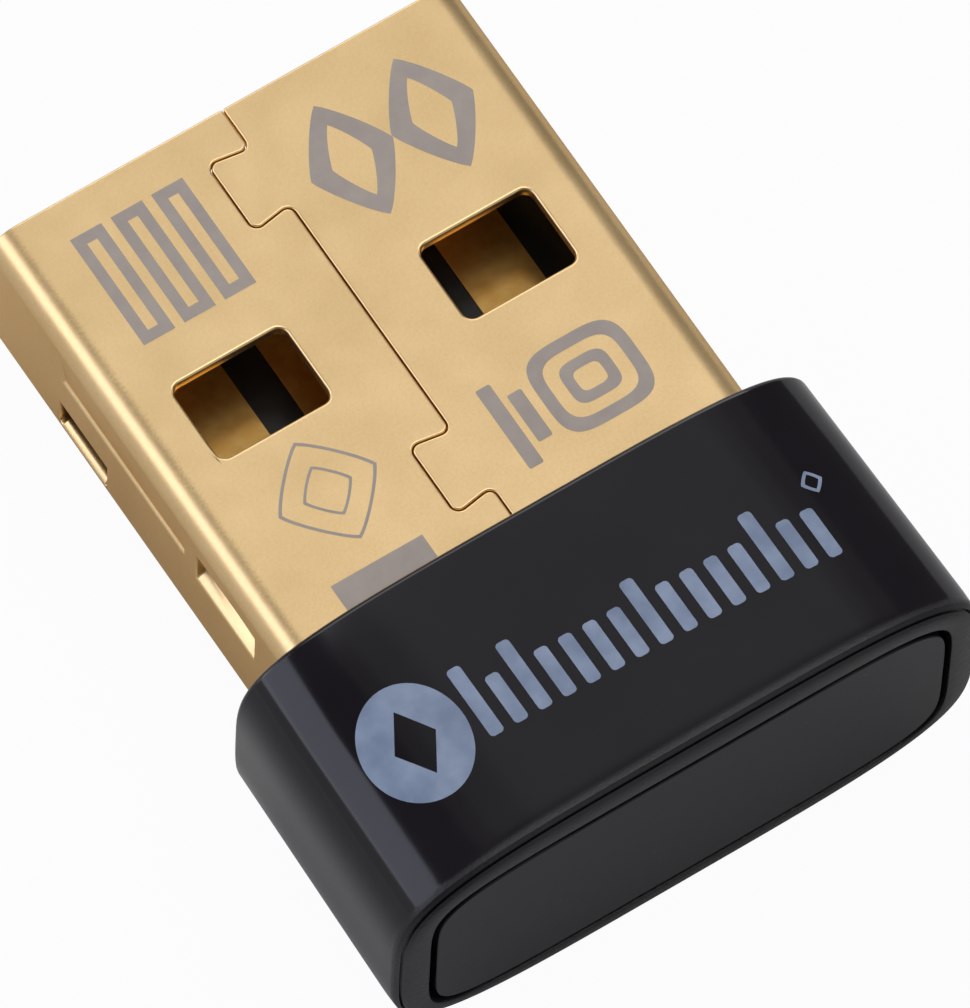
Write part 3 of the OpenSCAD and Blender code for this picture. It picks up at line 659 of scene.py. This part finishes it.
def makePrint():
    x, y, halfWidth, halfLength, squareness = printed["badge"]
    pieces = [roundPlate(x, y + mouthY, (halfWidth, halfLength, squareness), printed["hollow"])]
    x, y, halfWidth, halfLength, stroke, squareness = printed["stud"]
    pieces.append(roundPlate(x, y + mouthY, (halfWidth, halfLength, squareness),
                             (halfWidth - stroke, halfLength - stroke, squareness)))
    for i, length in enumerate(printed["barLengths"]):
        across = printed["barStep"] * i
        foot = printed["barFoot"] + mouthY + printed["slant"] * across
        pieces.append(barPlate(printed["barStart"] + across, foot + length / 2, printed["barWidth"],
                               length, 0.1))
    piece = makeFilm("printed_marks", pieces, printed["film"], housingTop, printed["cut"])
    finishPiece(piece, ink, 40)
    return piece


def makeMarks():
    pieces = [barPlate(x, y + mouthY, width, length, 0.05) for x, y, width, length in marks["bars"]]
    pieces += [framePlate(x, y + mouthY, width, length, stroke)
               for x, y, width, length, stroke in marks["frames"]]
    for x, y, halfWidth, halfLength, stroke, squareness in marks["rings"]:
        pieces.append(roundPlate(x, y + mouthY, (halfWidth, halfLength, squareness),
                                 (halfWidth - stroke, halfLength - stroke, squareness)))
    x, y, width, length = marks["plate"]
    pieces.append(barPlate(x, y + mouthY, width, length, 0))
    piece = makeFilm("etched_marks", pieces, marks["film"], shellTop, None)
    finishPiece(piece, etched, 40)
    return piece


printedMarks = makePrint()
etchedMarks = makeMarks()

print("studio")
studio = {"floorSize": 1.2, "floorColour": "#BEBEBE", "whiteShare": 0.96, "glossyShare": 0.075, "world": 0.12}


def makeFloor():
    # white to the camera, a pale matt paper to the object, which keeps its shadow and soft reflection
    clearSelection()
    bpy.ops.mesh.primitive_plane_add(size=studio["floorSize"], location=(0, 0, 0))
    floor = bpy.context.object
    floor.name = "studio_floor"
    material = bpy.data.materials.new("white_paper_sweep")
    material.use_nodes = True
    tree = material.node_tree
    tree.nodes.remove(tree.nodes["Principled BSDF"])
    paper = addNode(tree, "ShaderNodeBsdfDiffuse", {"Color": linear(studio["floorColour"])})
    glow = addNode(tree, "ShaderNodeEmission", {"Color": (1, 1, 1, 1), "Strength": 1.0})
    path = addNode(tree, "ShaderNodeLightPath", {})
    clear = addNode(tree, "ShaderNodeMath", {"operation": "ADD"},
                    {0: path.outputs["Is Camera Ray"], 1: path.outputs["Is Transmission Ray"]})
    seen = addNode(tree, "ShaderNodeMath", {"operation": "MULTIPLY_ADD", 1: studio["glossyShare"]},
                   {0: path.outputs["Is Glossy Ray"], 2: clear})
    share = addNode(tree, "ShaderNodeMath", {"operation": "MULTIPLY", 1: studio["whiteShare"]}, {0: seen})
    mixed = addNode(tree, "ShaderNodeMixShader", {}, {"Fac": share, 1: paper, 2: glow})
    wire(tree, tree.nodes["Material Output"], {"Surface": mixed})
    floor.data.materials.append(material)


def aimed(place, target, across):
    # a turn that points -Z from place to target, with X as near as it can be to across
    back = (Vector(place) - Vector(target)).normalized()
    side = Vector(across)
    side = (side - back * side.dot(back)).normalized()
    return Matrix((side, back.cross(side), back)).transposed().to_euler()


lamps = {
    # degrees from straight up to the right, then degrees towards the mouth's side; distance, width
    # across, width along, colour, brightness, shown in reflections
    "left_box": (-54, 22.4, 0.25, 0.155, 0.3, "#E7ECFF", 1.95, True),
    "left_wash": (-83, 22.4, 0.26, 0.125, 0.31, "#FFFFFF", 0.38, True),
    "left_far": (-84, 54, 0.25, 0.16, 0.14, "#FFFFFF", 1.1, True),
    "top_panel": (19, 22.4, 0.25, 0.105, 0.12, "#FFFFFF", 0.15, True),
    "top_wash": (17, 35, 0.26, 0.17, 0.18, "#FFFFFF", 0.12, True),
    "top_edge_wash": (18, 35, 0.27, 0.25, 0.18, "#FFFFFF", 0.13, True),
    "top_far": (24, 51, 0.45, 0.46, 0.23, "#FFFFFF", 1.7, True),
    "top_near": (14, -4, 0.45, 0.42, 0.23, "#FFFFFF", 2.65, True),
    "right_far": (78, 54, 0.25, 0.2, 0.14, "#FFFFFF", 0.5, True),
    "right_near": (76, -2, 0.25, 0.2, 0.1, "#FFFFFF", 0.85, True),
    "rear_low": (36, -64, 0.25, 0.16, 0.12, "#FFFFFF", 0.75, True),
    "back_key": (28.5, 37, 0.4, 0.3, 0.3, "#FFFFFF", 0.7, False),
}


def makeLamps():
    middle = Vector((0, 0, 0.0035))
    for name, (right, forward, distance, width, length, colour, brightness, shown) in lamps.items():
        right, forward = math.radians(right), math.radians(forward)
        direction = Vector((math.cos(forward) * math.sin(right), math.sin(forward),
                            math.cos(forward) * math.cos(right)))
        place = middle + direction * distance
        bpy.ops.object.light_add(type="AREA", location=place)
        lamp = bpy.context.object
        lamp.name = name
        lamp.rotation_euler = aimed(place, middle, (math.cos(right), 0, -math.sin(right)))
        lamp.data.shape = "RECTANGLE"
        lamp.data.size = width
        lamp.data.size_y = length
        lamp.data.color = linear(colour)[:3]
        lamp.data.energy = brightness * math.pi * width * length
        lamp.visible_glossy = shown
    world = bpy.data.worlds.new("dim_studio")
    world.use_nodes = True
    world.node_tree.nodes["Background"].inputs["Color"].default_value = (1, 1, 1, 1)
    world.node_tree.nodes["Background"].inputs["Strength"].default_value = studio["world"]
    bpy.context.scene.world = world


# Places in millimetres; "across" is the direction that runs to the right in the picture.
camera = {"place": (-108.22, -151.21, 381.04), "target": (0.29, -0.781, 3.48),
          "across": (0.83955, -0.5427, 0.0251), "lens": 720.9}


def makeCamera():
    place = [v / 1000 for v in camera["place"]]
    target = [v / 1000 for v in camera["target"]]
    bpy.ops.object.camera_add(location=place, rotation=aimed(place, target, camera["across"]))
    eye = bpy.context.object
    eye.name = "photo_camera"
    eye.data.sensor_fit = "HORIZONTAL"
    eye.data.sensor_width = 36
    eye.data.lens = camera["lens"]
    eye.data.clip_start = 0.01
    eye.data.clip_end = 10
    bpy.context.scene.camera = eye


makeFloor()
makeLamps()
makeCamera()
bpy.context.scene.view_settings.view_transform = "Standard"
